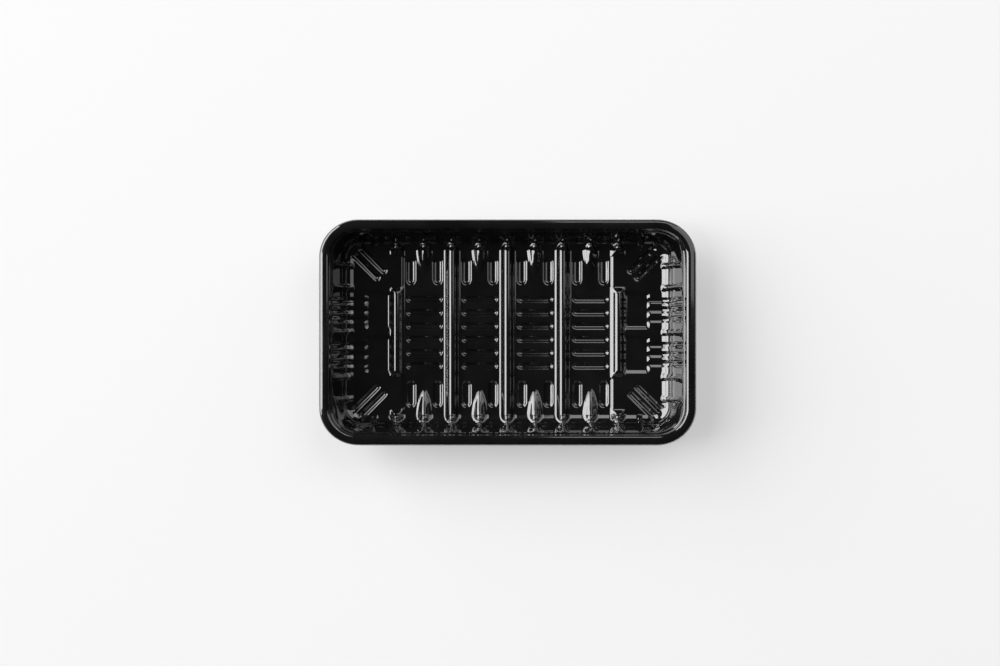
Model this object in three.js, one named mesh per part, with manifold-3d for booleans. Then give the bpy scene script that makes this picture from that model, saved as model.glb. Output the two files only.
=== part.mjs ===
// Meat packaging tray: one sheet of black plastic, thermoformed.
// Millimetres, +Z up, the long side along X. The feet rest on Z = 0.
// The sheet is the space between two shapes: the hollow that the meat lies in, and
// the same hollow grown by the sheet's thickness.
import * as THREE from 'three';
import Module from 'manifold-3d';

const wasm = await Module();
wasm.setup();
const { Manifold } = wasm;

// The whole tray
const length = 220;
const width = 132;
const height = 30;
const cornerRadius = 22.5;
const sheet = 0.5;

// Levels over the feet
const footDepth = 1.2;
const endRise = 0.9;
const ridgeHeight = 3.3;

// Walls, from the edge of the floor out to the rim
const rimWidth = 7.1;
const runLong = 9.5;
const runShort = 10.7;
const filletRadius = 8;
const filletStart = 12;
const collarHeight = 4.6;
const collarShelf = 0.6;
const lipRadius = 1.8;

// Rim, from the lip out
const beadHeight = 0.32;
const beadInset = 3.5;
const skirtDrop = 2.6;
const beadOuter = 1.9;
const skirtTurn = 0.9;
const skirtFoot = 0.25;

// Floor dividers, across the tray
const dividerPitch = 33.2;
const dividerBase = 8.7;
const dividerCrest = 2.3;
const midDividerHalf = 27.5;
const midDividerSlope = 3.2;
const stubStart = 45.6;
const endStep = 62;
const endStepRun = 1.2;

// Rungs, the short grooves in the middle of each panel
const rungCount = 6;
const rungPitch = 8;
const rungLength = 21.5;
const rungWidth = 3.9;

// Four long grooves at the corners of each panel
const padOffset = 8;
const padNear = 28.6;
const padFar = 45;
const padWidth = 5.6;

// Tapered ridges from the long walls
const spearTip = 33.4;
const spearBase = 8.6;
const spearCrest = 1.5;

// Recessed fields in the two ends, and the grooves that lead from them
const fieldNear = 71.3;
const fieldFar = 83.6;
const fieldGap = 3.6;
const fieldReach = 22.8;
const fieldSlope = 1.7;
const fieldCorner = 1.6;
const flutesPerField = 3;
const fluteFirst = 7.5;
const flutePitch = 5.8;
const fluteWidth = 3.0;
const fluteDepth = 0.7;

// Slanted grooves in the four corners
const slantLength = 23.5;
const slantWidth = 4.0;
const slantSpacing = 5.9;
const slantCentreX = 83.1;
const slantCentreY = 41.8;
const slantDepth = 1.0;

// Bays pressed into the walls, and the posts left between them
const bayDepth = 1.2;
const postWidth = 2.2;
const bayDraft = 0.2;
const bayArch = 7.5;
const bayTopNarrowing = 3.2;
const lastPostX = 79.5;
const sidePostInner = 26.8;
const sidePostOuter = 39.9;

const cornerSteps = 5;
const filletSteps = 3;
const rad = (degrees) => degrees * Math.PI / 180;

const floorZ = sheet + footDepth;
const endZ = floorZ + endRise;

// The floor's edge at the bays
const floorHalfX = length / 2 - rimWidth - runShort;
const floorHalfY = width / 2 - rimWidth - runLong;
const floorCorner = cornerRadius - rimWidth - (runShort + runLong) / 2;
const wallTop = height - collarHeight;

// The steepness at which a wall leaves its fillet, so that it meets the collar
function wallAngle(run, from) {
  let low = rad(filletStart) + 0.05;
  let high = rad(89);
  for (let i = 0; i < 50; i += 1) {
    const mid = (low + high) / 2;
    const out = filletRadius * (Math.sin(mid) - Math.sin(rad(filletStart)));
    const up = filletRadius * (Math.cos(rad(filletStart)) - Math.cos(mid));
    if (out + (wallTop - from - up) / Math.tan(mid) > run) low = mid;
    else high = mid;
  }
  return low;
}

// A wall in section, as points [out, up] from the floor's edge over the lip.
// `proud` is how far it stands in from the back of the bays. A short wall starts on
// the raised floor of an end, so its line first climbs there from the main floor.
function wallSection(short, proud) {
  const run = short ? runShort : runLong;
  const from = short ? endZ : floorZ;
  const start = rad(filletStart);
  const end = wallAngle(run, from);
  const steps = short ? filletSteps - 1 : filletSteps;
  const line = short ? [[-proud - 3 * endRise, floorZ]] : [];
  for (let i = 0; i <= steps; i += 1) {
    const angle = start + (end - start) * i / steps;
    line.push([
      filletRadius * (Math.sin(angle) - Math.sin(start)) - proud,
      from + filletRadius * (Math.cos(start) - Math.cos(angle)),
    ]);
  }
  if (proud > 0) line.push([run - bayArch / Math.tan(end) - proud, wallTop - bayArch]);
  line.push([run, wallTop]);
  line.push([run + collarShelf, wallTop + collarShelf * 0.6]);
  const steep = rad(80);
  const lipZ = height - beadHeight - lipRadius * (1 - Math.cos(steep));
  const lipOut = run + collarShelf + (lipZ - wallTop - collarShelf * 0.6) / Math.tan(steep);
  for (const degrees of [80, 28]) {
    const angle = rad(degrees);
    line.push([
      lipOut + lipRadius * (Math.sin(steep) - Math.sin(angle)),
      lipZ + lipRadius * (Math.cos(angle) - Math.cos(steep)),
    ]);
  }
  return line;
}

// A line moved sideways by a distance, down and out being the positive side
function moved(line, distance, firstFlat) {
  const angleOf = (a, b) => Math.atan2(b[1] - a[1], b[0] - a[0]);
  return line.map((point, i) => {
    const before = i > 0 ? angleOf(line[i - 1], point) : null;
    const after = i < line.length - 1 ? angleOf(point, line[i + 1]) : null;
    let one = before ?? after;
    const two = after ?? before;
    if (i === 0 && firstFlat) one = 0;
    const middle = (one + two) / 2;
    const size = distance / Math.cos((two - one) / 2);
    return [point[0] + size * Math.sin(middle), point[1] - size * Math.cos(middle)];
  });
}

// A ring of points round a rectangle with rounded corners, whose short sides may lie
// at a level of their own
function ring(halfX, halfY, radius, z, zShort = z) {
  const round = Math.max(0.4, radius);
  const points = [];
  for (let corner = 0; corner < 4; corner += 1) {
    const signX = corner === 0 || corner === 3 ? 1 : -1;
    const signY = corner < 2 ? 1 : -1;
    for (let i = 0; i <= cornerSteps; i += 1) {
      const angle = rad(90 * corner + 90 * i / cornerSteps);
      points.push([
        signX * (halfX - round) + round * Math.cos(angle),
        signY * (halfY - round) + round * Math.sin(angle),
        z + (zShort - z) * Math.cos(angle) ** 2,
      ]);
    }
  }
  return points;
}

// A closed solid through rings of equal count, capped at both ends
function loft(rings) {
  const count = rings[0].length;
  const points = rings.flat();
  const triangles = [];
  for (let r = 0; r < rings.length - 1; r += 1) {
    for (let i = 0; i < count; i += 1) {
      const j = (i + 1) % count;
      const a = r * count + i;
      const b = r * count + j;
      triangles.push(a, b, b + count, a, b + count, a + count);
    }
  }
  const top = (rings.length - 1) * count;
  for (let i = 1; i < count - 1; i += 1) {
    triangles.push(0, i + 1, i);
    triangles.push(top, top + i, top + i + 1);
  }
  const mesh = new wasm.Mesh({
    numProp: 3,
    vertProperties: new Float32Array(points.flat()),
    triVerts: new Uint32Array(triangles),
  });
  mesh.merge();
  return new Manifold(mesh);
}

// The hollow inside two wall lines, of the short and the long walls
function bowl(alongX, alongY) {
  const rings = alongX.map(([outX, z], i) => {
    const outY = alongY[i][0];
    return ring(
      floorHalfX + outX, floorHalfY + outY,
      floorCorner + (outX + outY) / 2, alongY[i][1], z,
    );
  });
  return loft(rings);
}

// The whole hollow inside the posts or inside the backs of the bays, grown by `grow`
function wholeBowl(proud, grow) {
  const lines = [true, false].map((short) => {
    const line = moved(wallSection(short, proud), grow, true);
    line.push([line[line.length - 1][0], height + 5]);
    return line;
  });
  return bowl(...lines);
}

// A groove or recess: an outline that narrows downwards, from one level to another
function sunk(outline, from, to, run, grow) {
  const slope = Math.atan2(from - to, run);
  const side = grow * Math.tan(slope / 2);
  const over = 0.5;
  const high = outline(side + over * run / (from - to));
  const low = outline(side - run);
  return Manifold.hull([
    ...high.map(([x, y]) => [x, y, from - grow + over]),
    ...low.map(([x, y]) => [x, y, to - grow]),
  ]);
}

// A slot with round ends, turned by an angle, as a function of how far it is widened
function slot(x, y, reach, half, degrees, steps) {
  return (wider) => {
    const radius = Math.max(0.15, half + wider);
    const arm = reach - half;
    const points = [];
    for (let side = 0; side < 2; side += 1) {
      for (let i = 0; i <= steps; i += 1) {
        const angle = rad(-90 + 180 * i / steps + 180 * side);
        const u = (side ? -arm : arm) + radius * Math.cos(angle);
        const v = radius * Math.sin(angle);
        const c = Math.cos(rad(degrees));
        const s = Math.sin(rad(degrees));
        points.push([x + u * c - v * s, y + u * s + v * c]);
      }
    }
    return points;
  };
}

// A ridge along Y, whose crest may be shorter than its foot
function ridge(x, footFrom, footTo, crestFrom, crestTo, base, crest, level, rise, grow) {
  const run = (base - crest) / 2;
  const side = grow * Math.tan(Math.atan2(rise, run) / 2);
  const under = 0.4;
  const half = base / 2 - side + under * run / rise;
  const top = Math.max(0.05, crest / 2 - side);
  const back = (footTo - crestTo) / rise;
  const front = (crestFrom - footFrom) / rise;
  const points = [];
  for (const sign of [-1, 1]) {
    const foot = level - grow - under;
    const pinch = grow > 0 ? 0.3 * grow : 0;
    const a = footFrom + (front > 0.05 ? pinch : 0);
    const b = footTo - (back > 0.05 ? pinch : 0);
    points.push([x + sign * half, a - under * front, foot]);
    points.push([x + sign * half, b + under * back, foot]);
    const high = level - grow + rise;
    points.push([x + sign * top, crestFrom + (a - footFrom), high]);
    points.push([x + sign * top, crestTo + (b - footTo), high]);
  }
  return Manifold.hull(points);
}

// A ridge that starts as a point on the floor and grows towards a long wall
function spear(x, sign, grow) {
  const far = floorHalfY + 2;
  const span = far - spearTip;
  const slope = Math.atan2(ridgeHeight, (spearBase - spearCrest) / 2);
  const side = grow * Math.tan(slope / 2);
  const points = [];
  for (const [along, share] of [[0, 0], [0.25, 0.52], [0.6, 0.86], [1, 1]]) {
    const y = spearTip + span * along + (along === 0 ? side : 0);
    const rise = ridgeHeight * share;
    const half = Math.max(0.05, spearBase / 2 * share - side * Math.min(1, share * 3));
    const top = Math.max(0.04, (spearCrest / 2 - side * 0.5) * Math.min(1, share * 1.4));
    const z = floorZ - grow;
    for (const s of [-1, 1]) {
      points.push([x + s * (half + 0.3), sign * y, z - 0.3]);
      points.push([x + s * top, sign * y, z + rise]);
    }
  }
  return Manifold.hull(points);
}

// The space that a bay may fill: upright sides, and an arch under the wall's top.
// `place` turns [along, out, z] into a point. An end past `far` has no arch.
const far = 400;
function bayBlock(from, to, run, grow, place) {
  const angle = wallAngle(run, endZ);
  const side = grow * 0.84 - postWidth / 2;
  const points = [];
  for (const n of [-7, 4]) {
    for (const [m, cut] of [[-50, 0], [-bayArch * 0.8, 0], [-0.35, 1]]) {
      const out = run + m * Math.cos(angle) + n * Math.sin(angle);
      const z = wallTop + m * Math.sin(angle) - n * Math.cos(angle);
      const half = side - bayDraft * n - cut * bayTopNarrowing;
      points.push(place(from <= -far ? from : from - half, out, z));
      points.push(place(to >= far ? to : to + half, out, z));
    }
  }
  return Manifold.hull(points);
}

const onLongWall = (sign) => (along, out, z) => [along, sign * (floorHalfY + out), z];
const onShortWall = (sign) => (along, out, z) => [sign * (floorHalfX + out), along, z];

// The space of the bay that runs round a corner, between the last posts of two walls
function cornerBlock(sx, sy, grow) {
  const spanX = sx > 0 ? [lastPostX, far] : [-far, -lastPostX];
  const spanY = sy > 0 ? [sidePostOuter, far] : [-far, -sidePostOuter];
  const onLong = (along, out, z) => [along, sy * (out > 0 ? far : 0), z];
  const onShort = (along, out, z) => [sx * (out > 0 ? far : 0), along, z];
  const wide = (place, span, run) => {
    const angle = wallAngle(run, endZ);
    const side = grow * 0.84 - postWidth / 2;
    const points = [];
    for (const out of [-1, 1]) {
      for (const [m, cut] of [[-50, 0], [-bayArch * 0.8, 0], [-0.35, 1]]) {
        const z = wallTop + m * Math.sin(angle);
        const half = side - cut * bayTopNarrowing;
        points.push(place(span[0] <= -far ? span[0] : span[0] - half, out, z));
        points.push(place(span[1] >= far ? span[1] : span[1] + half, out, z));
      }
    }
    return Manifold.hull(points);
  };
  return Manifold.intersection([wide(onLong, spanX, runLong), wide(onShort, spanY, runShort)]);
}

// The space of a flute on a short wall
function fluteBlock(sign, y, grow) {
  const angle = wallAngle(runShort, endZ);
  const place = onShortWall(sign);
  const points = [];
  for (const n of [-9, 4]) {
    const half = fluteWidth * 0.4 + grow * 0.8 - bayDraft / 2 * n;
    for (const m of [-40, 1]) {
      const out = runShort + m * Math.cos(angle) + n * Math.sin(angle);
      const z = wallTop + m * Math.sin(angle) - n * Math.cos(angle);
      points.push(place(y - half, out, z));
      points.push(place(y + half, out, z));
    }
  }
  const cut = Manifold.hull([
    ...[-1, 1].flatMap((s) => [-1.5, runShort - 0.05 + grow * 0.5].flatMap((out) => (
      [-2, height].map((z) => place(y + s * 6, out, z))
    ))),
  ]);
  return Manifold.intersection([Manifold.hull(points), cut]);
}

// The bowl whose floor and walls lie deeper by the depth of the flutes
function fluteBowl(grow) {
  const lines = [true, false].map((short) => moved(
    moved(wallSection(short, 0), fluteDepth, true).slice(0, filletSteps + 2), grow, true,
  ));
  return bowl(...lines);
}

// The raised floor at one end, up to a sloping step towards the middle
function endFloor(sign, grow) {
  const shift = grow * Math.tan(Math.atan2(endRise, endStepRun) / 2);
  const top = endZ - grow + 0.02;
  const points = [];
  for (const [x, z] of [
    [endStep + shift - endStepRun, floorZ - grow - endRise],
    [endStep + shift + endStepRun, top],
    [length, top],
    [length, floorZ - grow - endRise],
  ]) {
    for (const sy of [-1, 1]) points.push([sign * x, sy * width, z]);
  }
  return Manifold.hull(points);
}

// The hollow of the tray, grown by `grow` on its outside
function hollow(grow) {
  const blocks = [];
  const half = dividerPitch / 2;
  const posts = [0, half, 2 * half, 3 * half, 4 * half, lastPostX];
  for (const sign of [-1, 1]) {
    const edge = onLongWall(sign);
    for (let i = 0; i < posts.length - 1; i += 1) {
      blocks.push(bayBlock(posts[i], posts[i + 1], runLong, grow, edge));
      blocks.push(bayBlock(-posts[i + 1], -posts[i], runLong, grow, edge));
    }
    const end = onShortWall(sign);
    for (const [from, to] of [[0, sidePostInner], [sidePostInner, sidePostOuter]]) {
      blocks.push(bayBlock(from, to, runShort, grow, end));
      blocks.push(bayBlock(-to, -from, runShort, grow, end));
    }
    blocks.push(cornerBlock(sign, 1, grow), cornerBlock(sign, -1, grow));
  }
  const bays = Manifold.union(blocks);
  const walls = Manifold.union([
    wholeBowl(bayDepth, grow),
    Manifold.intersection([wholeBowl(0, grow), bays]),
  ]);
  const air = [walls.subtract(endFloor(-1, grow)).subtract(endFloor(1, grow))];

  const grooveRun = footDepth * 0.95;
  for (let panel = 0; panel < 4; panel += 1) {
    const x = dividerPitch * (panel - 1.5);
    for (let r = 0; r < rungCount; r += 1) {
      const y = rungPitch * (r - (rungCount - 1) / 2);
      air.push(sunk(
        slot(x, y, rungLength / 2, rungWidth / 2, 0, 2),
        floorZ, sheet, grooveRun, grow,
      ));
    }
    for (const sx of [-1, 1]) {
      for (const sy of [-1, 1]) {
        const reach = (padFar - padNear) / 2;
        air.push(sunk(
          slot(x + sx * padOffset, sy * (padNear + reach), reach, padWidth / 2, 90, 3),
          floorZ, sheet, grooveRun, grow,
        ));
      }
    }
  }

  const flutes = [];
  for (const sx of [-1, 1]) {
    for (const sy of [-1, 1]) {
      const fieldX = sx * (fieldNear + fieldFar) / 2;
      const fieldY = sy * (fieldGap + fieldReach) / 2;
      const halfX = (fieldFar - fieldNear) / 2;
      const halfY = (fieldReach - fieldGap) / 2;
      const outline = (wider) => {
        const w = wider + fieldSlope;
        const points = [];
        for (const [a, b] of [[1, 1], [-1, 1], [-1, -1], [1, -1]]) {
          points.push([fieldX + a * (halfX + w - fieldCorner), fieldY + b * (halfY + w)]);
          points.push([fieldX + a * (halfX + w), fieldY + b * (halfY + w - fieldCorner)]);
        }
        return points;
      };
      air.push(sunk(outline, endZ, floorZ, fieldSlope, grow));

      for (let i = 0; i < flutesPerField; i += 1) {
        const y = sy * (fluteFirst + flutePitch * i);
        const reach = (floorHalfX + 1.2 - fieldFar) / 2 + 1;
        air.push(sunk(
          slot(sx * (fieldFar + reach - 1), y, reach, fluteWidth / 2, 0, 2),
          endZ, endZ - fluteDepth, fluteWidth * 0.28, grow,
        ));
        flutes.push(fluteBlock(sx, y, grow));
      }

      for (const side of [-1, 1]) {
        const away = side * slantSpacing / 2 * Math.SQRT1_2;
        air.push(sunk(
          slot(
            sx * (slantCentreX + away), sy * (slantCentreY - away),
            slantLength / 2, slantWidth / 2, sx * sy * 45, 2,
          ),
          endZ, endZ - slantDepth, slantDepth, grow,
        ));
      }
    }
  }

  air.push(Manifold.intersection([fluteBowl(grow), Manifold.union(flutes)]));

  const solid = [];
  const beyond = floorHalfY + 3;
  for (let i = -2; i <= 2; i += 1) {
    const x = dividerPitch * i;
    if (Math.abs(i) < 2) {
      solid.push(ridge(
        x, -beyond, beyond, -beyond, beyond,
        dividerBase, dividerCrest, floorZ, ridgeHeight, grow,
      ));
    } else {
      solid.push(ridge(
        x, -midDividerHalf, midDividerHalf,
        -midDividerHalf + midDividerSlope, midDividerHalf - midDividerSlope,
        dividerBase, dividerCrest, floorZ, ridgeHeight, grow,
      ));
      solid.push(ridge(
        x, stubStart, beyond, stubStart + midDividerSlope, beyond,
        dividerBase, dividerCrest, floorZ, ridgeHeight, grow,
      ));
      solid.push(ridge(
        x, -beyond, -stubStart, -beyond, -stubStart - midDividerSlope,
        dividerBase, dividerCrest, floorZ, ridgeHeight, grow,
      ));
    }
  }
  for (let panel = 0; panel < 4; panel += 1) {
    const x = dividerPitch * (panel - 1.5);
    solid.push(spear(x, 1, grow));
    solid.push(spear(x, -1, grow));
  }
  return Manifold.union(air).subtract(Manifold.union(solid));
}

// The rim: its upper side from the lip out, round the skirt's edge, and back below
function rimSlab() {
  const edge = [
    [rimWidth - collarShelf - lipRadius, height - beadHeight],
    [beadInset + 1, height - beadHeight * 0.8],
    [beadInset, height],
    [beadOuter, height - beadHeight * 0.7],
    [skirtTurn, height - skirtDrop * 0.29],
    [skirtFoot, height - skirtDrop * 0.65],
    [0, height - skirtDrop],
  ];
  const line = edge.map(([inset, z]) => [-inset, z]);
  const top = line;
  const below = moved(line, sheet, false).filter((point, i) => i % 2 === 0).reverse();
  below[0] = [below[0][0], top[top.length - 1][1]];
  const rings = [];
  const add = ([out, z]) => rings.push(
    ring(length / 2 + out, width / 2 + out, cornerRadius + out, z),
  );
  const inner = rimWidth + 1.5;
  add([-inner, below[below.length - 1][1]]);
  for (const point of [...below].reverse()) add(point);
  for (const point of [...top].reverse()) add(point);
  add([-inner, top[0][1]]);
  return loft(rings);
}

const shape = Manifold.union([
  hollow(sheet).intersect(Manifold.cube([length * 2, width * 2, height * 2], true)
    .translate([0, 0, -beadHeight])),
  rimSlab(),
]).subtract(hollow(0));

const tray = shape.simplify(0.05);

const plastic = new THREE.MeshStandardMaterial({
  color: 0x0b0b0c,
  roughness: 0.12,
  metalness: 0,
});

function toMesh(solid, name, material) {
  const data = solid.getMesh();
  const geometry = new THREE.BufferGeometry();
  const positions = new Float32Array(data.numVert * 3);
  for (let i = 0; i < data.numVert; i += 1) {
    for (let k = 0; k < 3; k += 1) {
      positions[3 * i + k] = data.vertProperties[data.numProp * i + k];
    }
  }
  geometry.setAttribute('position', new THREE.BufferAttribute(positions, 3));
  geometry.setIndex(new THREE.BufferAttribute(new Uint32Array(data.triVerts), 1));
  geometry.computeVertexNormals();
  const mesh = new THREE.Mesh(geometry, material);
  mesh.name = name;
  return mesh;
}

const group = new THREE.Group();
group.name = 'meat_packaging_tray';
group.add(toMesh(tray, 'tray', plastic));

export default group;
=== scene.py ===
"""Meat packaging tray: the moulded black sheet, and the studio that shows it.

The sheet's form follows the same sizes as the solid in the frame. It is drawn here at a
finer grain, with the roundings that a thermoformed sheet has. Sizes are in millimetres
until the mesh is made.
"""

from __future__ import annotations

import logging
import math
from dataclasses import dataclass, field
from enum import Enum

import bpy
import numpy as np
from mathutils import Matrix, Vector


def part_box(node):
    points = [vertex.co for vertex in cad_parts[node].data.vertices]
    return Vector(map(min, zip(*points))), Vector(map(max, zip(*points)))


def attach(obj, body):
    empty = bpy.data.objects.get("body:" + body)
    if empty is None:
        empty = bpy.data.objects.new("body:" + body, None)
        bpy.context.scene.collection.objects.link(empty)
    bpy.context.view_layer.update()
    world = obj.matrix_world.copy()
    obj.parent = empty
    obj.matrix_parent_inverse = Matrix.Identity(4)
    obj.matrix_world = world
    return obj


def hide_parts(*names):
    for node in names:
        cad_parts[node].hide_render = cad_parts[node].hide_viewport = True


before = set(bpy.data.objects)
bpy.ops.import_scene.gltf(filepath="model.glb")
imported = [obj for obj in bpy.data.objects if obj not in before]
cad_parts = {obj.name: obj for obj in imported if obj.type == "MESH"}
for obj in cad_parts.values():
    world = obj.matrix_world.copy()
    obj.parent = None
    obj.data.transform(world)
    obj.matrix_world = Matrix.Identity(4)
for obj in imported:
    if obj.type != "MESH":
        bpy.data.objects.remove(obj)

LOG = logging.getLogger("tray")
MM = 0.001
FAR_BELOW = -9.0
PANEL_COUNT = 4


class Side(Enum):
    """The two kinds of wall."""

    LONG = "long"
    SHORT = "short"


@dataclass(frozen=True)
class TraySizes:
    """Driving sizes of the tray, in millimetres.

    The outline and the height come from the frame, the rest are the solid's own sizes.
    """

    length: float
    width: float
    height: float
    corner_radius: float = 22.5
    sheet: float = 0.5
    foot_depth: float = 1.2
    end_rise: float = 0.9
    ridge_height: float = 3.3
    rim_width: float = 7.1
    run_long: float = 9.5
    run_short: float = 10.7
    fillet_radius: float = 8.0
    fillet_start: float = 12.0
    collar_height: float = 4.6
    collar_shelf: float = 0.6
    lip_radius: float = 1.8
    bead_height: float = 0.32
    bead_inset: float = 3.5
    bead_outer: float = 1.5
    bead_fall: float = 0.28
    skirt_turn: float = 0.45
    skirt_turn_fall: float = 1.2
    skirt_drop: float = 2.6
    bay_depth: float = 1.2
    post_width: float = 2.2
    bay_arch: float = 7.5
    bay_narrowing: float = 3.2
    divider_pitch: float = 33.2
    last_post: float = 79.5
    side_posts: tuple[float, ...] = (0.0, 26.8, 39.9)
    flute_first: float = 7.5
    flute_pitch: float = 5.8
    flute_width: float = 3.0
    flute_depth: float = 0.7

    @property
    def floor_z(self) -> float:
        """Level of the panels' floor."""
        return self.sheet + self.foot_depth

    @property
    def end_z(self) -> float:
        """Level of the raised floor at the two ends."""
        return self.floor_z + self.end_rise

    @property
    def wall_top(self) -> float:
        """Level where the bays end and the collar starts."""
        return self.height - self.collar_height

    @property
    def floor_x(self) -> float:
        """Half the floor's length, at the backs of the bays."""
        return self.length / 2 - self.rim_width - self.run_short

    @property
    def floor_y(self) -> float:
        """Half the floor's width, at the backs of the bays."""
        return self.width / 2 - self.rim_width - self.run_long

    @property
    def floor_corner(self) -> float:
        """Radius of the floor's corners."""
        return self.corner_radius - self.rim_width - (self.run_short + self.run_long) / 2

    @property
    def long_posts(self) -> tuple[float, ...]:
        """Places of the posts on half of a long wall."""
        half = self.divider_pitch / 2
        return tuple(half * i for i in range(5)) + (self.last_post,)

    @property
    def flutes(self) -> tuple[float, ...]:
        """Places of the flutes on half of a short wall."""
        return tuple(self.flute_first + self.flute_pitch * i for i in range(3))


def smooth_min(a: np.ndarray, b: np.ndarray | float, reach: float) -> np.ndarray:
    """Return the smaller of two values, rounded where they meet.

    Args:
        a: First values.
        b: Second values.
        reach: How near the values are where the rounding starts.

    Returns:
        The rounded minimum.
    """
    blend = np.maximum(reach - np.abs(a - b), 0.0) / reach
    return np.minimum(a, b) - blend * blend * reach / 4


def smooth_max(a: np.ndarray, b: np.ndarray | float, reach: float) -> np.ndarray:
    """Return the larger of two values, rounded where they meet.

    Args:
        a: First values.
        b: Second values.
        reach: How near the values are where the rounding starts.

    Returns:
        The rounded maximum.
    """
    return -smooth_min(-a, -b, reach)


def smooth_step(low: float, high: float, value: np.ndarray) -> np.ndarray:
    """Return 0 below one value, 1 above another, and a smooth rise between them.

    Args:
        low: Where the rise starts.
        high: Where the rise ends.
        value: The values to test.

    Returns:
        The rise at each value.
    """
    t = np.clip((value - low) / (high - low), 0.0, 1.0)
    return t * t * (3 - 2 * t)


def slot_inside(
    x: np.ndarray, y: np.ndarray, centre: tuple[float, float],
    reach: float, half: float, degrees: float = 0.0,
) -> np.ndarray:
    """Return how far points lie inside a slot with round ends.

    Args:
        x: Points' places along X.
        y: Points' places along Y.
        centre: The slot's middle.
        reach: Half the slot's length.
        half: Half the slot's width.
        degrees: The slot's turn from X.

    Returns:
        The distance to the slot's edge, positive inside.
    """
    turn = math.radians(degrees)
    dx = x - centre[0]
    dy = y - centre[1]
    along = np.abs(dx * math.cos(turn) + dy * math.sin(turn))
    across = -dx * math.sin(turn) + dy * math.cos(turn)
    return half - np.hypot(np.maximum(along - (reach - half), 0.0), across)


def sunk_depth(
    inside: np.ndarray, depth: float, run: float, soft: float = 0.15, foot_soft: float = 0.6,
) -> np.ndarray:
    """Return the depth of a groove from how far points lie inside its edge.

    Args:
        inside: Distance to the groove's edge, positive inside.
        depth: The groove's full depth.
        run: How wide its sloping side is.
        soft: How far the upper edge is rounded.
        foot_soft: How far the lower edge is rounded.

    Returns:
        The depth at each point.
    """
    slope = smooth_max(inside * depth / run, 0.0, soft)
    return np.clip(smooth_min(slope, depth, foot_soft), 0.0, depth)


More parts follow.
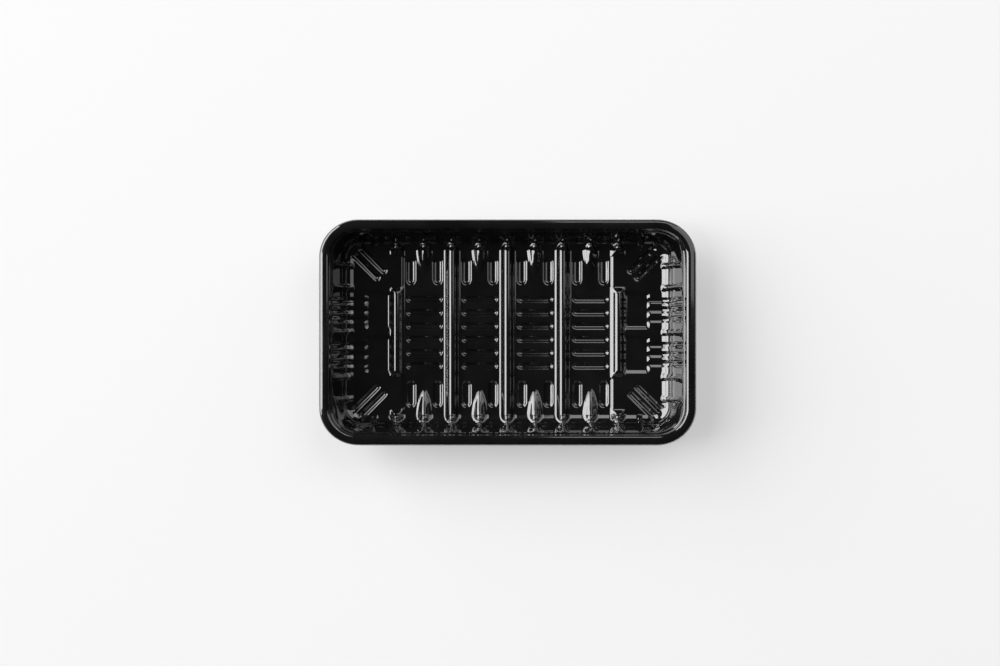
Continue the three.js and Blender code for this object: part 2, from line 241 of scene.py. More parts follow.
@dataclass
class FloorForm:
    """The heights of the tray's floor: panels, grooves, fields and ridges."""

    sizes: TraySizes
    divider_base: float = 8.7
    divider_crest: float = 2.3
    mid_half: float = 27.5
    mid_slope: float = 3.2
    stub_start: float = 45.6
    end_step: float = 62.0
    end_step_run: float = 1.2
    rung_count: int = 6
    rung_pitch: float = 8.0
    rung_length: float = 21.5
    rung_width: float = 3.9
    pad_offset: float = 8.0
    pad_near: float = 28.6
    pad_far: float = 45.0
    pad_width: float = 5.6
    spear_tip: float = 33.4
    spear_base: float = 8.6
    spear_crest: float = 1.5
    field_near: float = 71.3
    field_far: float = 83.6
    field_gap: float = 3.6
    field_reach: float = 22.8
    field_slope: float = 1.7
    slant_length: float = 23.5
    slant_width: float = 4.0
    slant_spacing: float = 5.9
    slant_centre: tuple[float, float] = (83.1, 41.8)
    slant_depth: float = 1.0
    soft: float = 0.8
    step_soft: float = 0.3
    piece_soft: float = 0.5
    groove_draft: float = 0.95
    field_corner: float = 1.6
    field_soft: float = 0.2
    field_foot_soft: float = 0.25
    flute_draft: float = 0.28
    flute_foot_soft: float = 0.3
    flute_beyond_floor: float = 6.0
    slant_draft: float = 1.5
    slant_soft: float = 0.3
    slant_foot_soft: float = 0.4
    slant_degrees: float = 45.0
    spear_beyond_floor: float = 2.0
    spear_bulge: float = 2.1

    def level(self, x: np.ndarray) -> np.ndarray:
        """Return the floor's plain level, which steps up at the two ends.

        Args:
            x: Places along X.

        Returns:
            The level at each place.
        """
        climb = (np.abs(x) - self.end_step) * self.sizes.end_rise / self.end_step_run
        rise = smooth_max(climb, 0.0, self.step_soft)
        rise = smooth_min(rise, self.sizes.end_rise, self.step_soft)
        return self.sizes.floor_z + rise

    def panel_grooves(self, x: np.ndarray, y: np.ndarray) -> np.ndarray:
        """Return the depth of the rungs and the long grooves of the four panels.

        Args:
            x: Places along X.
            y: Places along Y.

        Returns:
            The depth under the floor's plain level.
        """
        depth = self.sizes.foot_depth
        run = depth * self.groove_draft
        found = np.zeros_like(x)
        for panel in range(PANEL_COUNT):
            middle = self.sizes.divider_pitch * (panel - 1.5)
            for rung in range(self.rung_count):
                place = self.rung_pitch * (rung - (self.rung_count - 1) / 2)
                inside = slot_inside(
                    x, y, (middle, place), self.rung_length / 2, self.rung_width / 2,
                )
                found = np.maximum(found, sunk_depth(inside, depth, run))
            reach = (self.pad_far - self.pad_near) / 2
            for sx in (-1, 1):
                centre = (middle + sx * self.pad_offset, self.pad_near + reach)
                inside = slot_inside(x, np.abs(y), centre, reach, self.pad_width / 2, 90)
                found = np.maximum(found, sunk_depth(inside, depth, run))
        return found

    def end_recesses(self, x: np.ndarray, y: np.ndarray) -> np.ndarray:
        """Return the depth of the fields, their flutes and the corners' grooves.

        Args:
            x: Places along X.
            y: Places along Y.

        Returns:
            The depth under the ends' raised floor.
        """
        sizes = self.sizes
        ax = np.abs(x)
        ay = np.abs(y)
        mid_x = (self.field_near + self.field_far) / 2
        mid_y = (self.field_gap + self.field_reach) / 2
        half_x = (self.field_far - self.field_near) / 2 + self.field_slope
        half_y = (self.field_reach - self.field_gap) / 2 + self.field_slope
        corner = self.field_corner
        qx = np.abs(ax - mid_x) - (half_x - corner)
        qy = np.abs(ay - mid_y) - (half_y - corner)
        outside = np.hypot(np.maximum(qx, 0), np.maximum(qy, 0)) + np.minimum(np.maximum(qx, qy), 0)
        found = sunk_depth(
            corner - outside, sizes.end_rise, self.field_slope,
            self.field_soft, self.field_foot_soft,
        )
        reach = (sizes.floor_x + self.flute_beyond_floor - self.field_far) / 2 + 1
        for place in sizes.flutes:
            centre = (self.field_far + reach - 1, place)
            inside = slot_inside(ax, ay, centre, reach, sizes.flute_width / 2)
            deep = sunk_depth(
                inside, sizes.flute_depth, sizes.flute_width * self.flute_draft,
                self.field_soft, self.flute_foot_soft,
            )
            found = np.maximum(found, deep)
        for side in (-1, 1):
            away = side * self.slant_spacing / 2 * math.sqrt(0.5)
            centre = (self.slant_centre[0] + away, self.slant_centre[1] - away)
            inside = slot_inside(
                ax, ay, centre, self.slant_length / 2, self.slant_width / 2, self.slant_degrees,
            )
            deep = sunk_depth(
                inside, self.slant_depth, self.slant_depth * self.slant_draft,
                self.slant_soft, self.slant_foot_soft,
            )
            found = np.maximum(found, deep)
        return found

    def ridge_profile(self, across: np.ndarray, base: float, crest: float) -> np.ndarray:
        """Return a ridge's height at a distance from its middle line.

        Args:
            across: Distance from the ridge's middle line.
            base: The ridge's full width at its foot.
            crest: Its width at the top.

        Returns:
            The height, below zero outside the ridge.
        """
        rise = self.sizes.ridge_height
        slope = 2 * rise / (base - crest)
        return smooth_min((base / 2 - across) * slope, rise, self.soft)

    def ridges(self, x: np.ndarray, y: np.ndarray) -> np.ndarray:
        """Return the top of the dividers and of the tapered ridges.

        Args:
            x: Places along X.
            y: Places along Y.

        Returns:
            The level of the ridges, far below the floor where there is none.
        """
        sizes = self.sizes
        ay = np.abs(y)
        top = np.full_like(x, FAR_BELOW)
        end_slope = sizes.ridge_height / self.mid_slope
        for i in range(-2, 3):
            across = np.abs(x - sizes.divider_pitch * i)
            height = self.ridge_profile(across, self.divider_base, self.divider_crest)
            if abs(i) == 2:
                middle = smooth_min(height, (self.mid_half - ay) * end_slope, self.piece_soft)
                stub = smooth_min(height, (ay - self.stub_start) * end_slope, self.piece_soft)
                height = np.maximum(middle, stub)
            top = np.maximum(top, height)
        span = sizes.floor_y + self.spear_beyond_floor - self.spear_tip
        along = np.clip((ay - self.spear_tip) / span, 0.0, 1.2)
        share = np.clip(1 - (1 - np.minimum(along, 1)) ** self.spear_bulge, 0.0, 1.0)
        for panel in range(PANEL_COUNT):
            across = np.abs(x - sizes.divider_pitch * (panel - 1.5))
            slope = 2 * sizes.ridge_height / (self.spear_base - self.spear_crest)
            height = (self.spear_base / 2 * share - across) * slope
            crest = sizes.ridge_height * share
            height = smooth_min(height, crest, self.soft)
            height = np.where(ay < self.spear_tip - 0.5, FAR_BELOW, height)
            top = np.maximum(top, height)
        return sizes.floor_z + top


@dataclass
class Section:
    """A wall and rim in section, from the floor's edge over the lip to the skirt's edge.

    Attributes:
        out: Distance out from the floor's edge.
        up: Height over the feet.
        angle: Steepness of the line, from 0 where it is level to a quarter turn.
    """

    out: np.ndarray
    up: np.ndarray
    angle: np.ndarray

    @classmethod
    def of(cls, sizes: TraySizes, side: Side) -> Section:
        """Draw the section of one kind of wall.

        Args:
            sizes: The tray's sizes.
            side: Which wall.

        Returns:
            The section, with as many points on both kinds of wall.
        """
        short = side is Side.SHORT
        run = sizes.run_short if short else sizes.run_long
        start = sizes.end_z if short else sizes.floor_z
        edge = run + sizes.rim_width
        steep = cls.steepness(sizes, run, start)
        tangent = math.radians(sizes.fillet_start)
        knee = cls.crossing((0.0, start), tangent, (run, sizes.wall_top), steep)
        collar_foot = (run + sizes.collar_shelf, sizes.wall_top + sizes.collar_shelf * 0.6)
        flange = sizes.height - sizes.bead_height
        lip = cls.crossing(collar_foot, math.radians(80), (edge - 5, flange), math.radians(2))
        height = sizes.height
        knots = [
            ((0.0, start), 0.0, 1),
            (knee, sizes.fillet_radius, 7),
            ((run, sizes.wall_top), 0.5, 1),
            (collar_foot, 0.5, 2),
            (lip, sizes.lip_radius, 5),
            ((edge - sizes.bead_inset, height - 0.02), 1.2, 2),
            ((edge - sizes.bead_outer, height - sizes.bead_fall), 0.9, 3),
            ((edge - sizes.skirt_turn, height - sizes.skirt_turn_fall), 0.8, 2),
            ((edge, height - sizes.skirt_drop), 0.0, 1),
        ]
        stretches = [1, 6, 1, 2, 1, 1, 1, 1]
        return cls(*cls.rounded(knots, stretches))

    @staticmethod
    def steepness(sizes: TraySizes, run: float, start: float) -> float:
        """Find how steep a wall leaves its fillet to reach the collar.

        Args:
            sizes: The tray's sizes.
            run: How far out the wall goes.
            start: The level where it starts.

        Returns:
            The angle in radians.
        """
        tangent = math.radians(sizes.fillet_start)
        low = tangent + 0.05
        high = math.radians(89)
        for _ in range(50):
            middle = (low + high) / 2
            out = sizes.fillet_radius * (math.sin(middle) - math.sin(tangent))
            up = sizes.fillet_radius * (math.cos(tangent) - math.cos(middle))
            if out + (sizes.wall_top - start - up) / math.tan(middle) > run:
                low = middle
            else:
                high = middle
        return low

    @staticmethod
    def crossing(
        first: tuple[float, float], first_angle: float,
        second: tuple[float, float], second_angle: float,
    ) -> tuple[float, float]:
        """Return the point where two lines cross.

        Args:
            first: A point on the first line.
            first_angle: The first line's angle.
            second: A point on the second line.
            second_angle: The second line's angle.

        Returns:
            The crossing point.
        """
        ax, ay = math.cos(first_angle), math.sin(first_angle)
        bx, by = math.cos(second_angle), math.sin(second_angle)
        dx, dy = second[0] - first[0], second[1] - first[1]
        along = (dx * by - dy * bx) / (ax * by - ay * bx)
        return first[0] + along * ax, first[1] + along * ay

    @staticmethod
    def rounded(
        knots: list[tuple[tuple[float, float], float, int]], stretches: list[int],
    ) -> tuple[np.ndarray, np.ndarray, np.ndarray]:
        """Round a line's corners and spread points over it.

        Args:
            knots: For each corner its place, its radius and the number of its steps.
            stretches: The number of steps on each straight stretch.

        Returns:
            The points' two coordinates and the line's angle at each.
        """
        places = [np.array(place) for place, _, _ in knots]
        headings = [
            math.atan2(*(b - a)[::-1]) for a, b in zip(places[:-1], places[1:])
        ]
        rows: list[tuple[float, float, float]] = []
        last = places[0]
        for i, (_, radius, steps) in enumerate(knots):
            if i in (0, len(knots) - 1):
                arc = [(places[i], headings[min(i, len(headings) - 1)])]
            else:
                before, after = headings[i - 1], headings[i]
                turn = after - before
                room = min(
                    np.linalg.norm(places[i] - places[i - 1]),
                    np.linalg.norm(places[i + 1] - places[i]),
                ) * (0.48 if i > 1 else 0.97)
                cut = min(radius * abs(math.tan(turn / 2)), room)
                real = cut / max(abs(math.tan(turn / 2)), 1e-6)
                bend = math.copysign(1, turn)
                begin = places[i] - cut * np.array([math.cos(before), math.sin(before)])
                centre = begin + bend * real * np.array([-math.sin(before), math.cos(before)])
                arc = []
                for k in range(steps + 1):
                    angle = before + turn * k / steps
                    spoke = np.array([math.sin(angle), -math.cos(angle)])
                    arc.append((centre + bend * real * spoke, angle))
            if i > 0:
                count = stretches[i - 1]
                first = arc[0][0]
                for k in range(1, count):
                    point = last + (first - last) * k / count
                    rows.append((point[0], point[1], headings[i - 1]))
            rows.extend((point[0], point[1], angle) for point, angle in arc)
            last = arc[-1][0]
        table = np.array(rows)
        return table[:, 0], table[:, 1], table[:, 2]


@dataclass
class Lattice:
    """The grid of the floor, and the ring of its border, from which the walls rise.

    Attributes:
        sizes: The tray's sizes.
        cells_x: Number of cells along X, even.
        cells_y: Number of cells along Y, even.
    """

    sizes: TraySizes
    cells_x: int = 312
    cells_y: int = 152
    x: np.ndarray = field(init=False)
    y: np.ndarray = field(init=False)
    border: np.ndarray = field(init=False)

    def __post_init__(self) -> None:
        """Place the grid's points and list its border, counterclockwise."""
        sizes = self.sizes
        # Each stretch with closer lines is its middle, its half width and its density:
        # the ends, the dividers' slopes and the pads' sides along X, then the pads, their
        # near ends and the rungs' sides along Y.
        half = sizes.divider_pitch / 2
        panels = [half * i for i in (-3, -1, 1, 3)]
        dense_x = [(side * 80.0, 13.0, 1.2) for side in (-1, 1)]
        dense_x += [
            (half * i + side * 3.2, 2.2, 1.9) for i in (-4, -2, 0, 2, 4) for side in (-1, 1)
        ]
        dense_x += [(m + off, 0.8, 2.2) for m in panels for off in (-10.2, -5.8, 5.8, 10.2)]
        dense_y = [(side * 40.0, 9.6, 1.35) for side in (-1, 1)]
        dense_y += [(side * 28.8, 1.8, 1.3) for side in (-1, 1)]
        dense_y += [
            (8.0 * (i - 2.5) + side * 1.35, 0.85, 2.0) for i in range(6) for side in (-1, 1)
        ]
        lines_x = self.spread(sizes.floor_x, self.cells_x, dense_x)
        lines_y = self.spread(sizes.floor_y, self.cells_y, dense_y)
        gx, gy = np.meshgrid(lines_x, lines_y, indexing="ij")
        radius = sizes.floor_corner
        in_x = (np.abs(gx) - (sizes.floor_x - radius)) / radius
        in_y = (np.abs(gy) - (sizes.floor_y - radius)) / radius
        corner = (in_x > 0) & (in_y > 0)
        a = np.clip(in_x, 0, 1)
        b = np.clip(in_y, 0, 1)
        round_x = sizes.floor_x - radius + radius * a * np.sqrt(1 - b * b / 2)
        round_y = sizes.floor_y - radius + radius * b * np.sqrt(1 - a * a / 2)
        self.x = np.where(corner, np.sign(gx) * round_x, gx)
        self.y = np.where(corner, np.sign(gy) * round_y, gy)
        self.border = self.border_of(self.cells_x, self.cells_y)

    @staticmethod
    def spread(half: float, cells: int, dense: list[tuple[float, float, float]]) -> np.ndarray:
        """Place grid lines from one side to the other, closer where detail needs it.

        Args:
            half: Half the span.
            cells: Number of cells.
            dense: Middle, half width and density of each stretch that needs its own.

        Returns:
            The places of the lines.
        """
        fine = np.linspace(-half, half, 20001)
        weight = np.full_like(fine, 0.8)
        for middle, reach, density in dense:
            weight = np.maximum(weight, density * (np.abs(fine - middle) < reach))
        total = np.concatenate([[0], np.cumsum((weight[1:] + weight[:-1]) / 2)])
        lines = np.interp(np.linspace(0, total[-1], cells + 1), total, fine)
        return (lines - lines[::-1]) / 2

    @staticmethod
    def border_of(cells_x: int, cells_y: int) -> np.ndarray:
        """List the grid's border points, counterclockwise from the corner at low X and Y.

        Args:
            cells_x: Number of cells along X.
            cells_y: Number of cells along Y.

        Returns:
            Pairs of grid indices.
        """
        low = [(i, 0) for i in range(cells_x)]
        right = [(cells_x, j) for j in range(cells_y)]
        high = [(i, cells_y) for i in range(cells_x, 0, -1)]
        left = [(0, j) for j in range(cells_y, 0, -1)]
        return np.array(low + right + high + left)


@dataclass
class Sheet:
    """The tray's sheet as one closed mesh: its upper side, its lower side and its edge."""

    sizes: TraySizes
    floor: FloorForm
    lattice: Lattice
    groove_hold: float = 2.2
    groove_fade: float = 2.0
    ridge_hold: float = 1.2
    ridge_fade: float = 3.2
    corner_from: float = 30.0
    post_soft: float = 0.65
    flute_soft: float = 0.5
    flute_share: float = 0.4
    flute_top_run: float = 2.5

    def build(self) -> bpy.types.Object:
        """Make the tray's mesh object.

        Returns:
            The object, in metres, in the frame's place.
        """
        grid, rings = self.upper_side()
        shape = grid.shape[:2]
        quads = self.quads(shape, rings.shape[0])
        points = np.concatenate([grid.reshape(-1, 3), rings.reshape(-1, 3)])
        normals = self.normals(points, quads)
        below = points - normals * self.sizes.sheet
        below[:, 2] = np.maximum(below[:, 2], 0.0)
        grid_low = below[: shape[0] * shape[1]].reshape(shape + (3,))[::2, ::2]
        rings_low = below[shape[0] * shape[1]:].reshape(rings.shape)[self.kept_rings(rings)]
        rings_low = rings_low[:, ::2]
        quads_low = self.quads(grid_low.shape[:2], rings_low.shape[0])
        points_low = np.concatenate([grid_low.reshape(-1, 3), rings_low.reshape(-1, 3)])
        offset = len(points)
        count = rings.shape[1]
        outer = offset - count
        outer_low = offset + len(points_low) - count // 2
        edge = []
        for i in range(count // 2):
            a = outer + 2 * i
            b = outer + 2 * i + 1
            c = outer + (2 * i + 2) % count
            d = outer_low + i
            e = outer_low + (i + 1) % (count // 2)
            edge += [(a, d, b), (b, d, e), (b, e, c)]
        faces = quads.tolist() + [tuple(reversed(q)) for q in (quads_low + offset).tolist()]
        mesh = bpy.data.meshes.new("tray_sheet")
        mesh.from_pydata((np.concatenate([points, points_low]) * MM).tolist(), [], faces + edge)
        mesh.validate()
        mesh.shade_smooth()
        mesh.update()
        tray = bpy.data.objects.new("tray_sheet", mesh)
        bpy.context.scene.collection.objects.link(tray)
        LOG.info("sheet: %d points, %d faces", len(mesh.vertices), len(mesh.polygons))
        return tray

    def upper_side(self) -> tuple[np.ndarray, np.ndarray]:
        """Place the points of the side that the eye sees.

        Returns:
            The floor's grid of points and the walls' rings of points.
        """
        x, y = self.lattice.x, self.lattice.y
        height = self.floor.level(x) - np.maximum(
            self.floor.panel_grooves(x, y), self.floor.end_recesses(x, y),
        )
        height = smooth_max(height, self.floor.ridges(x, y), self.floor.soft)
        grid = np.stack([x, y, height], axis=-1)
        border = self.lattice.border
        return grid, self.walls(x[border[:, 0], border[:, 1]], y[border[:, 0], border[:, 1]])

    def walls(self, x: np.ndarray, y: np.ndarray) -> np.ndarray:
        """Raise the walls, the collar and the rim from the floor's border.

        Args:
            x: The border's places along X.
            y: The border's places along Y.

        Returns:
            Rings of points, from just outside the floor to the skirt's edge.
        """
        sizes = self.sizes
        short = Section.of(sizes, Side.SHORT)
        long = Section.of(sizes, Side.LONG)
        radius = sizes.floor_corner
        core_x = np.clip(x, radius - sizes.floor_x, sizes.floor_x - radius)
        core_y = np.clip(y, radius - sizes.floor_y, sizes.floor_y - radius)
        way = np.stack([x - core_x, y - core_y], axis=-1)
        way /= np.linalg.norm(way, axis=-1, keepdims=True)
        share = way[:, 0] ** 2
        rows = []
        for j in range(1, len(short.out)):
            out = short.out[j] * share + long.out[j] * (1 - share)
            up = short.up[j] * share + long.up[j] * (1 - share)
            angle = short.angle[j] * share + long.angle[j] * (1 - share)
            lift = self.floor.level(x) - sizes.floor_z
            fade = np.clip((sizes.wall_top - up) / (sizes.wall_top - sizes.floor_z), 0, 1)
            up = up + lift * fade * (1 - share)
            move = self.wall_relief(x, y, share, up, angle)
            out_moved = out - move * np.sin(angle)
            up = up + move * np.cos(angle)
            px = core_x + way[:, 0] * (radius + out_moved)
            py = core_y + way[:, 1] * (radius + out_moved)
            near = np.clip(1 - (out - self.groove_hold) / self.groove_fade, 0, 1)
            up = up - self.corner_grooves(px, py) * near
            held = np.clip(1 - (out - self.ridge_hold) / self.ridge_fade, 0, 1)
            carried = (up - sizes.floor_z) * held
            raised = smooth_max(up, self.floor.ridges(px, py) + carried, self.floor.soft)
            up = np.where(out < sizes.run_long, raised, up)
            rows.append(np.stack([px, py, up], axis=-1))
        return np.array(rows)

    def corner_grooves(self, x: np.ndarray, y: np.ndarray) -> np.ndarray:
        """Return the depth of the corners' slanted grooves on the walls' foot.

        Args:
            x: Places along X.
            y: Places along Y.

        Returns:
            The depth, zero away from the corners.
        """
        found = self.floor.end_recesses(x, y)
        return np.where(np.abs(y) > self.corner_from, found, 0.0)

    def wall_relief(
        self, x: np.ndarray, y: np.ndarray, share: np.ndarray, up: np.ndarray, angle: np.ndarray,
    ) -> np.ndarray:
        """Return how far the wall stands in from the backs of its bays.

        Args:
            x: The border's places along X.
            y: The border's places along Y.
            share: How much each place belongs to a short wall.
            up: Heights of this ring.
            angle: Steepness of this ring.

        Returns:
            The distance inwards, below zero in the flutes.
        """
        sizes = self.sizes
        start = sizes.wall_top - sizes.bay_arch
        rise = np.clip((up - start) / sizes.bay_arch, 0, 1)
        proud = sizes.bay_depth * (1 - rise) * (up < sizes.wall_top)
        half = sizes.post_width / 2 + sizes.bay_narrowing * rise * rise
        on_long = share < 0.5
        mask = np.zeros_like(x)
        for places, along, here in (
            (sizes.long_posts, np.abs(x), on_long),
            (sizes.side_posts, np.abs(y), ~on_long),
        ):
            for place in places:
                beside = np.abs(along - place) - half
                near = 1 - smooth_step(-self.post_soft, self.post_soft, beside)
                mask = np.maximum(mask, np.where(here, near, 0.0))
        relief = proud * np.maximum(np.sin(angle), 0) * mask
        for place in sizes.flutes:
            beside = np.abs(np.abs(y) - place) - sizes.flute_width * self.flute_share
            near = 1 - smooth_step(-self.flute_soft, self.flute_soft, beside)
            deep = sizes.flute_depth * np.clip((sizes.wall_top - up) / self.flute_top_run, 0, 1)
            relief = relief - np.where(on_long, 0.0, near * deep)
        return relief

    @staticmethod
    def kept_rings(rings: np.ndarray) -> list[int]:
        """Choose the rings that the lower side keeps.

        Args:
            rings: All rings of the upper side.

        Returns:
            Every third ring, and the last.
        """
        last = rings.shape[0] - 1
        return [i for i in range(last - 1) if i % 3 == 1] + [last]

    def quads(self, shape: tuple[int, int], ring_count: int) -> np.ndarray:
        """List the faces of a grid with rings round it.

        Args:
            shape: Number of the grid's points along X and Y.
            ring_count: Number of rings.

        Returns:
            Rows of four point numbers, facing up.
        """
        nx, ny = shape
        i, j = np.meshgrid(np.arange(nx - 1), np.arange(ny - 1), indexing="ij")
        first = (i * ny + j).ravel()
        floor = np.stack([first, first + ny, first + ny + 1, first + 1], axis=-1)
        turned = ((i + 0.5 - (nx - 1) / 2) * (j + 0.5 - (ny - 1) / 2) < 0).ravel()
        floor[turned] = np.roll(floor[turned], -1, axis=1)
        border = Lattice.border_of(nx - 1, ny - 1)
        ring = border[:, 0] * ny + border[:, 1]
        count = len(ring)
        faces = [floor]
        for k in range(ring_count):
            outer = nx * ny + k * count + np.arange(count)
            faces.append(np.stack([ring, outer, np.roll(outer, -1), np.roll(ring, -1)], axis=-1))
            ring = outer
        return np.concatenate(faces)

    @staticmethod
    def normals(points: np.ndarray, quads: np.ndarray) -> np.ndarray:
        """Return the unit normal of each point of a quad mesh.

        Args:
            points: The mesh's points.
            quads: Its faces.

        Returns:
            One normal for each point.
        """
        diagonal = points[quads[:, 2]] - points[quads[:, 0]]
        other = points[quads[:, 3]] - points[quads[:, 1]]
        face = np.cross(diagonal, other)
        face /= np.maximum(np.linalg.norm(face, axis=-1, keepdims=True), 1e-12)
        total = np.zeros_like(points)
        for corner in range(4):
            np.add.at(total, quads[:, corner], face)
        return total / np.maximum(np.linalg.norm(total, axis=-1, keepdims=True), 1e-12)


@dataclass(frozen=True)
class GlossyPlastic:
    """The finish of the sheet: black, glossy, with the faint waviness of drawn plastic."""

    name: str = "tray_plastic"
    ior: float = 1.6
    coat_roughness: float = 0.05
    dark: tuple[float, float, float, float] = (0.004, 0.004, 0.0043, 1.0)
    light: tuple[float, float, float, float] = (0.007, 0.007, 0.0074, 1.0)
    smoothest: float = 0.05
    roughest: float = 0.11
    broad_scale: float = 55.0
    fine_scale: float = 900.0
    wave_strength: float = 0.08
    wave_height: float = 0.0004
    grain_strength: float = 0.01
    grain_height: float = 0.00003

    def surface_group(self) -> bpy.types.NodeTree:
        """Make the node group that varies the sheet's colour, gloss and surface.

        Returns:
            The group, with outputs for colour, roughness and normal.
        """
        group = bpy.data.node_groups.new("DrawnSheet", "ShaderNodeTree")
        group.interface.new_socket("Color", in_out="OUTPUT", socket_type="NodeSocketColor")
        group.interface.new_socket("Roughness", in_out="OUTPUT", socket_type="NodeSocketFloat")
        group.interface.new_socket("Normal", in_out="OUTPUT", socket_type="NodeSocketVector")
        nodes, links = group.nodes, group.links
        out = nodes.new("NodeGroupOutput")
        place = nodes.new("ShaderNodeTexCoord")
        broad = nodes.new("ShaderNodeTexNoise")
        broad.inputs["Scale"].default_value = self.broad_scale
        broad.inputs["Detail"].default_value = 3.0
        fine = nodes.new("ShaderNodeTexNoise")
        fine.inputs["Scale"].default_value = self.fine_scale
        fine.inputs["Detail"].default_value = 2.0
        links.new(place.outputs["Object"], broad.inputs["Vector"])
        links.new(place.outputs["Object"], fine.inputs["Vector"])
        tint = nodes.new("ShaderNodeValToRGB")
        tint.color_ramp.elements[0].position = 0.35
        tint.color_ramp.elements[0].color = self.dark
        tint.color_ramp.elements[1].position = 0.7
        tint.color_ramp.elements[1].color = self.light
        links.new(broad.outputs["Fac"], tint.inputs["Fac"])
        gloss = nodes.new("ShaderNodeMapRange")
        gloss.inputs["From Min"].default_value = 0.3
        gloss.inputs["From Max"].default_value = 0.7
        gloss.inputs["To Min"].default_value = self.smoothest
        gloss.inputs["To Max"].default_value = self.roughest
        links.new(broad.outputs["Fac"], gloss.inputs["Value"])
        wave = nodes.new("ShaderNodeBump")
        wave.inputs["Strength"].default_value = self.wave_strength
        wave.inputs["Distance"].default_value = self.wave_height
        links.new(broad.outputs["Fac"], wave.inputs["Height"])
        grain = nodes.new("ShaderNodeBump")
        grain.inputs["Strength"].default_value = self.grain_strength
        grain.inputs["Distance"].default_value = self.grain_height
        links.new(fine.outputs["Fac"], grain.inputs["Height"])
        links.new(wave.outputs["Normal"], grain.inputs["Normal"])
        links.new(tint.outputs["Color"], out.inputs["Color"])
        links.new(gloss.outputs["Result"], out.inputs["Roughness"])
        links.new(grain.outputs["Normal"], out.inputs["Normal"])
        return group

    def build(self) -> bpy.types.Material:
        """Make the material.

        Returns:
            The material.
        """
        material = bpy.data.materials.new(self.name)
        material.use_nodes = True
        tree = material.node_tree
        shader = tree.nodes["Principled BSDF"]
        shader.inputs["IOR"].default_value = self.ior
        shader.inputs["Coat Weight"].default_value = 1.0
        shader.inputs["Coat Roughness"].default_value = self.coat_roughness
        surface = tree.nodes.new("ShaderNodeGroup")
        surface.node_tree = self.surface_group()
        tree.links.new(surface.outputs["Color"], shader.inputs["Base Color"])
        tree.links.new(surface.outputs["Roughness"], shader.inputs["Roughness"])
        tree.links.new(surface.outputs["Normal"], shader.inputs["Normal"])
        return material


@dataclass
class Tray:
    """The finished tray, which stands for the solid in the frame."""

    sizes: TraySizes
    finish: GlossyPlastic

    def build(self) -> bpy.types.Object:
        """Make the sheet, give it its finish and tie it to the frame.

        Returns:
            The tray's object.
        """
        sheet = Sheet(self.sizes, FloorForm(self.sizes), Lattice(self.sizes)).build()
        sheet.data.materials.append(self.finish.build())
        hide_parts("tray")
        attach(sheet, "root")
        return sheet


@dataclass(frozen=True)
class Lamp:
    """A soft rectangular light.

    Attributes:
        name: The light's name.
        place: Its middle, in metres.
        facing: The direction that it shines in.
        size: Its two sides, in metres, the level one first.
        radiance: Its brightness, where 1 is white.
        mirrored: Whether glossy surfaces show it.
    """

    name: str
    place: tuple[float, float, float]
    facing: tuple[float, float, float]
    size: tuple[float, float]
    radiance: float
    mirrored: bool = True

    @classmethod
    def upright(
        cls, name: str, azimuth: float, spread: float, low: float, high: float, radiance: float,
        distance: float = 4.0,
    ) -> Lamp:
        """Stand a light upright round the tray.

        Args:
            name: The light's name.
            azimuth: Its direction in degrees, counterclockwise from +X.
            spread: Half its width in degrees, seen from the tray.
            low: Its lower edge in degrees over the floor.
            high: Its upper edge in degrees over the floor.
            radiance: Its brightness.
            distance: How far away it stands.

        Returns:
            The light.
        """
        turn = math.radians(azimuth)
        base = distance * math.tan(math.radians(low))
        top = distance * math.tan(math.radians(high))
        out = (math.cos(turn), math.sin(turn))
        width = 2 * distance * math.tan(math.radians(spread))
        return cls(
            name, (out[0] * distance, out[1] * distance, (base + top) / 2),
            (-out[0], -out[1], 0.0), (width, top - base), radiance,
        )

    def build(self) -> bpy.types.Object:
        """Make the light.

        Returns:
            The light's object.
        """
        data = bpy.data.lights.new(self.name, "AREA")
        data.shape = "RECTANGLE"
        data.size, data.size_y = self.size
        data.energy = self.radiance * math.pi * self.size[0] * self.size[1]
        lamp = bpy.data.objects.new(self.name, data)
        lamp.location = self.place
        lamp.rotation_euler = Vector(self.facing).to_track_quat("-Z", "Y").to_euler()
        lamp.visible_camera = False
        lamp.visible_glossy = self.mirrored
        bpy.context.scene.collection.objects.link(lamp)
        return lamp


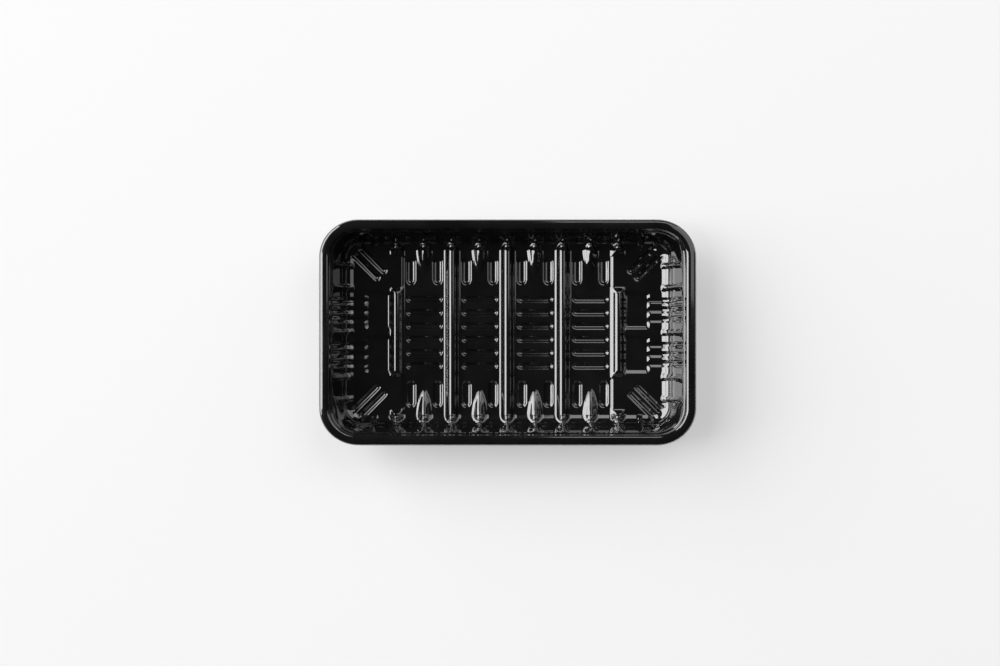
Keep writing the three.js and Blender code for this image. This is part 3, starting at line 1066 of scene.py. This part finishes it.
@dataclass
class Studio:
    """The pale floor, the soft lights and the camera above the tray."""

    sizes: TraySizes
    floor_half: float = 3.0
    floor_tone: float = 0.83
    camera_rise: float = 0.9
    photo_width: int = 1000
    photo_height: int = 666
    tray_span: float = 378.3
    tray_middle: tuple[float, float] = (507.65, 332.4)
    sensor: float = 36.0
    lamps: tuple[Lamp, ...] = (
        Lamp.upright("window_left", 158.0, 35.0, 2.0, 36.0, 6.6),
        Lamp.upright("window_left_top", 178.0, 10.0, 36.0, 65.0, 7.2),
        Lamp.upright("window_left_back", 148.0, 19.0, 36.0, 62.0, 4.0),
        Lamp.upright("panel_right", 33.0, 22.0, 3.0, 36.0, 1.3),
        Lamp("ceiling_back", (1.57, 2.42, 3.0), (0.0, 0.0, -1.0), (2.86, 2.15), 2.3),
        Lamp("ceiling_right", (1.87, 0.71, 3.0), (0.0, 0.0, -1.0), (2.25, 1.26), 1.1),
        Lamp("ceiling_soft", (-0.6, 2.2, 3.2), (0.15, -0.55, -0.8), (2.6, 2.6), 0.3, False),
    )
    sky: float = 0.07
    mirrored_sky: float = 0.02
    paper: float = 0.42
    paper_tone: float = 0.93
    backdrop_tone: float = 0.92
    floor_roughness: float = 0.9
    floor_specular: float = 0.1

    def build(self) -> None:
        """Make everything round the tray."""
        self.floor()
        self.world()
        for lamp in self.lamps:
            lamp.build()
        self.camera()

    def floor(self) -> None:
        """Make the pale floor."""
        half = self.floor_half
        mesh = bpy.data.meshes.new("floor")
        corners = [(-half, -half, 0), (half, -half, 0), (half, half, 0), (-half, half, 0)]
        mesh.from_pydata(corners, [], [(0, 1, 2, 3)])
        plane = bpy.data.objects.new("floor", mesh)
        bpy.context.scene.collection.objects.link(plane)
        material = bpy.data.materials.new("pale_floor")
        material.use_nodes = True
        nodes, links = material.node_tree.nodes, material.node_tree.links
        shader = nodes["Principled BSDF"]
        tone = self.floor_tone
        shader.inputs["Base Color"].default_value = (tone, tone, tone, 1.0)
        shader.inputs["Roughness"].default_value = self.floor_roughness
        shader.inputs["Specular IOR Level"].default_value = self.floor_specular
        white = nodes.new("ShaderNodeEmission")
        white.inputs["Color"].default_value = (self.paper_tone,) * 3 + (1.0,)
        path = nodes.new("ShaderNodeLightPath")
        share = nodes.new("ShaderNodeMath")
        share.operation = "MULTIPLY"
        share.inputs[1].default_value = self.paper
        links.new(path.outputs["Is Camera Ray"], share.inputs[0])
        mix = nodes.new("ShaderNodeMixShader")
        links.new(share.outputs["Value"], mix.inputs["Fac"])
        links.new(shader.outputs["BSDF"], mix.inputs[1])
        links.new(white.outputs["Emission"], mix.inputs[2])
        links.new(mix.outputs["Shader"], nodes["Material Output"].inputs["Surface"])
        mesh.materials.append(material)

    def world(self) -> None:
        """Make the surroundings: pale to the eye, dim as a light."""
        world = bpy.data.worlds.new("studio")
        world.use_nodes = True
        nodes, links = world.node_tree.nodes, world.node_tree.links
        nodes.clear()
        out = nodes.new("ShaderNodeOutputWorld")
        path = nodes.new("ShaderNodeLightPath")
        shader = None
        for tone, strength, ray in (
            (1.0, self.sky, None),
            (1.0, self.mirrored_sky, "Is Glossy Ray"),
            (self.backdrop_tone, 1.0, "Is Camera Ray"),
        ):
            layer = nodes.new("ShaderNodeBackground")
            layer.inputs["Color"].default_value = (tone, tone, tone, 1.0)
            layer.inputs["Strength"].default_value = strength
            if shader is None:
                shader = layer.outputs["Background"]
                continue
            mix = nodes.new("ShaderNodeMixShader")
            links.new(path.outputs[ray], mix.inputs["Fac"])
            links.new(shader, mix.inputs[1])
            links.new(layer.outputs["Background"], mix.inputs[2])
            shader = mix.outputs["Shader"]
        links.new(shader, out.inputs["Surface"])
        bpy.context.scene.world = world

    def camera(self) -> None:
        """Place the camera straight above the tray, as in the photograph."""
        data = bpy.data.cameras.new("camera")
        data.sensor_width = self.sensor
        pixel = self.sizes.length * MM / self.tray_span
        data.lens = self.sensor * self.camera_rise / (self.photo_width * pixel)
        eye = bpy.data.objects.new("camera", data)
        eye.location = (
            (self.photo_width / 2 - self.tray_middle[0]) * pixel,
            (self.tray_middle[1] - self.photo_height / 2) * pixel,
            self.sizes.height * MM + self.camera_rise,
        )
        bpy.context.scene.collection.objects.link(eye)
        bpy.context.scene.camera = eye


def main() -> None:
    """Build the tray and its studio, and log the sheet's point and face counts."""
    logging.basicConfig(level=logging.INFO, format="%(name)s: %(message)s")
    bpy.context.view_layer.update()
    low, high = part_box("tray")
    sizes = TraySizes(
        length=(high[0] - low[0]) / MM,
        width=(high[1] - low[1]) / MM,
        height=(high[2] - low[2]) / MM,
    )
    Tray(sizes, GlossyPlastic()).build()
    Studio(sizes).build()
    bpy.context.scene.view_settings.view_transform = "Standard"
    bpy.context.view_layer.update()


if __name__ == "__main__":
    main()
